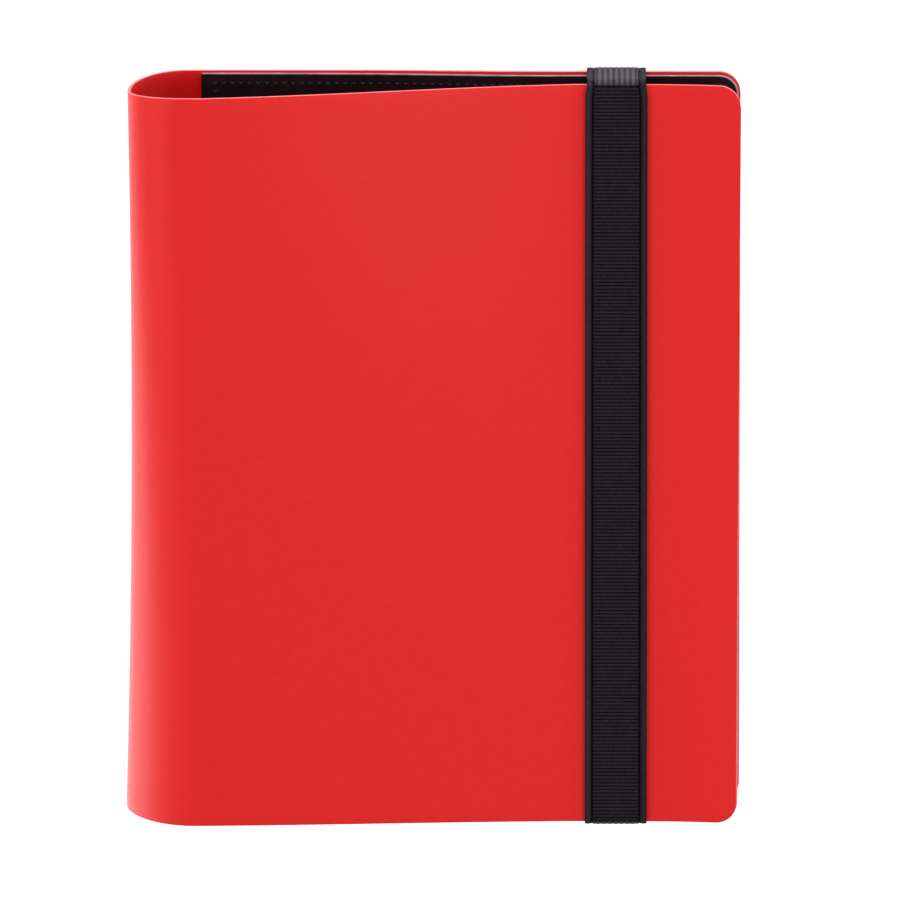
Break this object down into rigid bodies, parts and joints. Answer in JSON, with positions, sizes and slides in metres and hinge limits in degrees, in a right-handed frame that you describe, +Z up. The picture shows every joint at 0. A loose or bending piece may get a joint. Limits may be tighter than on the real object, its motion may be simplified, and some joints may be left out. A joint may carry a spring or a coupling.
{
  "type": "trading card binder",
  "caption": "Flexible card album: a wrapped cover sheet with a rounded spine, bound pocket pages that fan open, and an elastic band that holds it shut.",
  "frame": {"origin": "on the surface it lies on, under the middle of the closed binder's bounding box", "axes": "+X from the spine to the fore edge, +Y to the head of the pages, +Z up out of the front cover"},
  "size_m": [0.173, 0.2192, 0.028],
  "materials": {
    "cover_red": "fine matt grain",
    "liner_black": "satin with a welded dotted seam",
    "page_black": "fine emboss",
    "pocket_clear": "clear smooth film",
    "elastic_black": "ribbed woven elastic",
    "bar_grey": "moulded"
  },
  "bodies": {
    "back": {"back_cover": "cover_red", "back_liner": "liner_black", "binding_strip": "liner_black", "leaf_margins": "page_black", "band_tail_head": "elastic_black", "band_tail_foot": "elastic_black", "band_bar_head": "bar_grey", "band_bar_foot": "bar_grey"},
    "front": {"front_cover": "cover_red"},
    "band": {"elastic_band": "elastic_black"},
    "leaf_01": {"leaf_01_backing": "page_black", "leaf_01_pockets": "pocket_clear"},
    "leaf_02": {"leaf_02_backing": "page_black", "leaf_02_pockets": "pocket_clear"},
    "leaf_03": {"leaf_03_backing": "page_black", "leaf_03_pockets": "pocket_clear"},
    "leaf_04": {"leaf_04_backing": "page_black", "leaf_04_pockets": "pocket_clear"},
    "leaf_05": {"leaf_05_backing": "page_black", "leaf_05_pockets": "pocket_clear"},
    "leaf_06": {"leaf_06_backing": "page_black", "leaf_06_pockets": "pocket_clear"},
    "leaf_07": {"leaf_07_backing": "page_black", "leaf_07_pockets": "pocket_clear"},
    "leaf_08": {"leaf_08_backing": "page_black", "leaf_08_pockets": "pocket_clear"},
    "leaf_09": {"leaf_09_backing": "page_black", "leaf_09_pockets": "pocket_clear"},
    "leaf_10": {"leaf_10_backing": "page_black", "leaf_10_pockets": "pocket_clear"}
  },
  "joints": [
    {"name": "front_cover_open", "type": "hinge", "parent": "back", "child": "front", "pos_m": [-0.0865, 0, 0.014], "axis": [0, -1, 0], "range_deg": [0, 180], "deforming": ["leaf_margins"]},
    {"name": "band_pull", "type": "slide", "parent": "back", "child": "band", "axis": [0.9968, 0, 0.0797], "range_m": [0, 0.05], "stiffness_N_per_m": 40, "deforming": ["elastic_band"]},
    {"name": "leaf_01_turn", "type": "hinge", "parent": "back", "child": "leaf_01", "pos_m": [-0.059, 0, 0.0084], "axis": [0, -1, 0], "range_deg": [0, 160]},
    {"name": "leaf_02_turn", "type": "hinge", "parent": "back", "child": "leaf_02", "pos_m": [-0.059, 0, 0.00782], "axis": [0, -1, 0], "range_deg": [0, 142.67]},
    {"name": "leaf_03_turn", "type": "hinge", "parent": "back", "child": "leaf_03", "pos_m": [-0.059, 0, 0.00724], "axis": [0, -1, 0], "range_deg": [0, 125.33]},
    {"name": "leaf_04_turn", "type": "hinge", "parent": "back", "child": "leaf_04", "pos_m": [-0.059, 0, 0.00667], "axis": [0, -1, 0], "range_deg": [0, 108]},
    {"name": "leaf_05_turn", "type": "hinge", "parent": "back", "child": "leaf_05", "pos_m": [-0.059, 0, 0.00609], "axis": [0, -1, 0], "range_deg": [0, 90.67]},
    {"name": "leaf_06_turn", "type": "hinge", "parent": "back", "child": "leaf_06", "pos_m": [-0.059, 0, 0.00551], "axis": [0, -1, 0], "range_deg": [0, 73.33]},
    {"name": "leaf_07_turn", "type": "hinge", "parent": "back", "child": "leaf_07", "pos_m": [-0.059, 0, 0.00493], "axis": [0, -1, 0], "range_deg": [0, 56]},
    {"name": "leaf_08_turn", "type": "hinge", "parent": "back", "child": "leaf_08", "pos_m": [-0.059, 0, 0.00436], "axis": [0, -1, 0], "range_deg": [0, 38.67]},
    {"name": "leaf_09_turn", "type": "hinge", "parent": "back", "child": "leaf_09", "pos_m": [-0.059, 0, 0.00378], "axis": [0, -1, 0], "range_deg": [0, 21.33]},
    {"name": "leaf_10_turn", "type": "hinge", "parent": "back", "child": "leaf_10", "pos_m": [-0.059, 0, 0.0032], "axis": [0, -1, 0], "range_deg": [0, 4]}
  ],
  "couplings": [
    {"joint": "leaf_01_turn", "follows": "front_cover_open", "ratio": 0.88889},
    {"joint": "leaf_02_turn", "follows": "front_cover_open", "ratio": 0.79259},
    {"joint": "leaf_03_turn", "follows": "front_cover_open", "ratio": 0.69629},
    {"joint": "leaf_04_turn", "follows": "front_cover_open", "ratio": 0.6},
    {"joint": "leaf_05_turn", "follows": "front_cover_open", "ratio": 0.5037},
    {"joint": "leaf_06_turn", "follows": "front_cover_open", "ratio": 0.40741},
    {"joint": "leaf_07_turn", "follows": "front_cover_open", "ratio": 0.31111},
    {"joint": "leaf_08_turn", "follows": "front_cover_open", "ratio": 0.21482},
    {"joint": "leaf_09_turn", "follows": "front_cover_open", "ratio": 0.11852},
    {"joint": "leaf_10_turn", "follows": "front_cover_open", "ratio": 0.022221}
  ]
}
